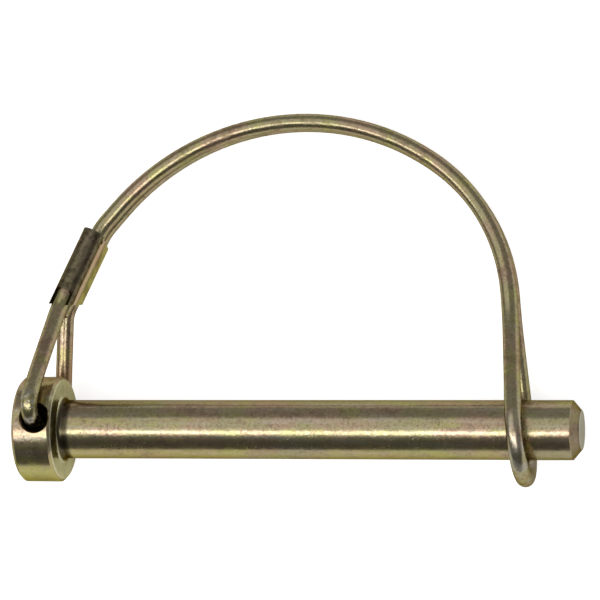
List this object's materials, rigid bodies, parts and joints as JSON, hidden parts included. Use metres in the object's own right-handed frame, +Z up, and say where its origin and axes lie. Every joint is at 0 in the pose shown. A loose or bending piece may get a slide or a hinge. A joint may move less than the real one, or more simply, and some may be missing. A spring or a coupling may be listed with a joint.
{
  "type": "wire lock pin",
  "caption": "Plated steel lock pin: round shank with a disc head and a sprung wire bail that loops over the tip",
  "frame": {"origin": "centre of the head's shoulder face, on the axis of the shank", "axes": "+Z up with the part lying on its side, +X from the head towards the tip, which points a little down, +Y towards the arch of the wire bail"},
  "size_m": [0.092, 0.0617, 0.023],
  "materials": {
    "pin_plating": "yellow zinc plated, glossy",
    "wire_plating": "yellow zinc plated, glossy",
    "ferrule_plating": "yellow zinc plated, glossy"
  },
  "bodies": {
    "pin": {"pin": "pin_plating"},
    "bail": {"wire_bail": "wire_plating", "ferrule": "ferrule_plating"}
  },
  "joints": [
    {"name": "bail_hinge", "type": "hinge", "parent": "pin", "child": "bail", "pos_m": [-0.00315, 0, 0.00014], "axis": [0.0428, 0.1348, 0.99], "range_deg": [0, 250]}
  ]
}
